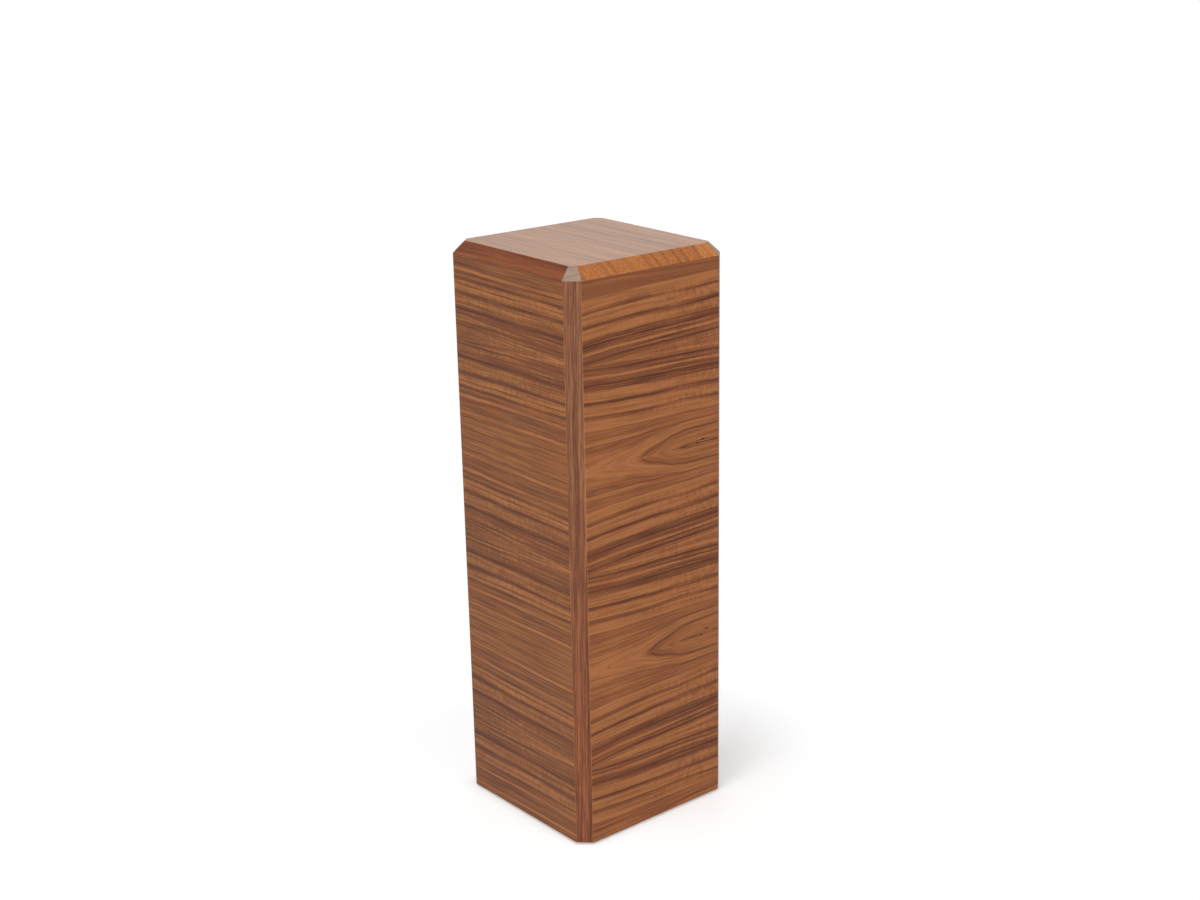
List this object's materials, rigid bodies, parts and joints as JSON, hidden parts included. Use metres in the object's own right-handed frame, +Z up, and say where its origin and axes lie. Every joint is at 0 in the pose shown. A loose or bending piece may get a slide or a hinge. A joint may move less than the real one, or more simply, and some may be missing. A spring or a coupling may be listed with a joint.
{
  "type": "display pedestal",
  "caption": "Square wooden display pedestal: a hollow veneered column with faceted corners under a solid top with a bevelled edge, made to raise an object on its flat upper face.",
  "frame": {"origin": "on the floor, under the middle of the column", "axes": "+Z up; the front, which is the right-hand face in the picture, faces -Y; the left side faces -X"},
  "size_m": [0.3048, 0.3048, 0.9184],
  "materials": {
    "walnut_face_veneer": "satin lacquered, level crown-cut walnut figure",
    "solid_walnut": "satin lacquered solid walnut",
    "fibreboard_core": "raw medium density fibreboard",
    "backing_veneer": "plain sanded backing veneer, unfinished",
    "birch_plywood": "sanded birch plywood, unfinished",
    "poplar": "planed poplar, unfinished",
    "zinc_steel": "bright zinc plating",
    "brown_plastic": "matt moulded brown plastic"
  },
  "bodies": {
    "root": {"backing_veneer_front": "backing_veneer", "backing_veneer_left": "backing_veneer", "backing_veneer_rear": "backing_veneer", "backing_veneer_right": "backing_veneer", "base_cleat_front": "poplar", "base_cleat_left": "poplar", "base_cleat_rear": "poplar", "base_cleat_right": "poplar", "base_cleat_screws": "zinc_steel", "base_panel": "birch_plywood", "base_screws": "zinc_steel", "corner_post_front_left": "solid_walnut", "corner_post_front_right": "solid_walnut", "corner_post_rear_left": "solid_walnut", "corner_post_rear_right": "solid_walnut", "face_veneer_front": "walnut_face_veneer", "face_veneer_left": "walnut_face_veneer", "face_veneer_rear": "walnut_face_veneer", "face_veneer_right": "walnut_face_veneer", "glide_front_left": "brown_plastic", "glide_front_right": "brown_plastic", "glide_nails": "zinc_steel", "glide_rear_left": "brown_plastic", "glide_rear_right": "brown_plastic", "panel_core_front": "fibreboard_core", "panel_core_left": "fibreboard_core", "panel_core_rear": "fibreboard_core", "panel_core_right": "fibreboard_core", "tongue_front_panel_left_end": "birch_plywood", "tongue_front_panel_right_end": "birch_plywood", "tongue_left_panel_front_end": "birch_plywood", "tongue_left_panel_rear_end": "birch_plywood", "tongue_rear_panel_left_end": "birch_plywood", "tongue_rear_panel_right_end": "birch_plywood", "tongue_right_panel_front_end": "birch_plywood", "tongue_right_panel_rear_end": "birch_plywood", "top_cleat_front": "poplar", "top_cleat_rear": "poplar", "top_cleat_screws": "zinc_steel", "top_screws": "zinc_steel", "top_stave_narrow": "solid_walnut", "top_stave_wide": "solid_walnut"}
  },
  "joints": []
}
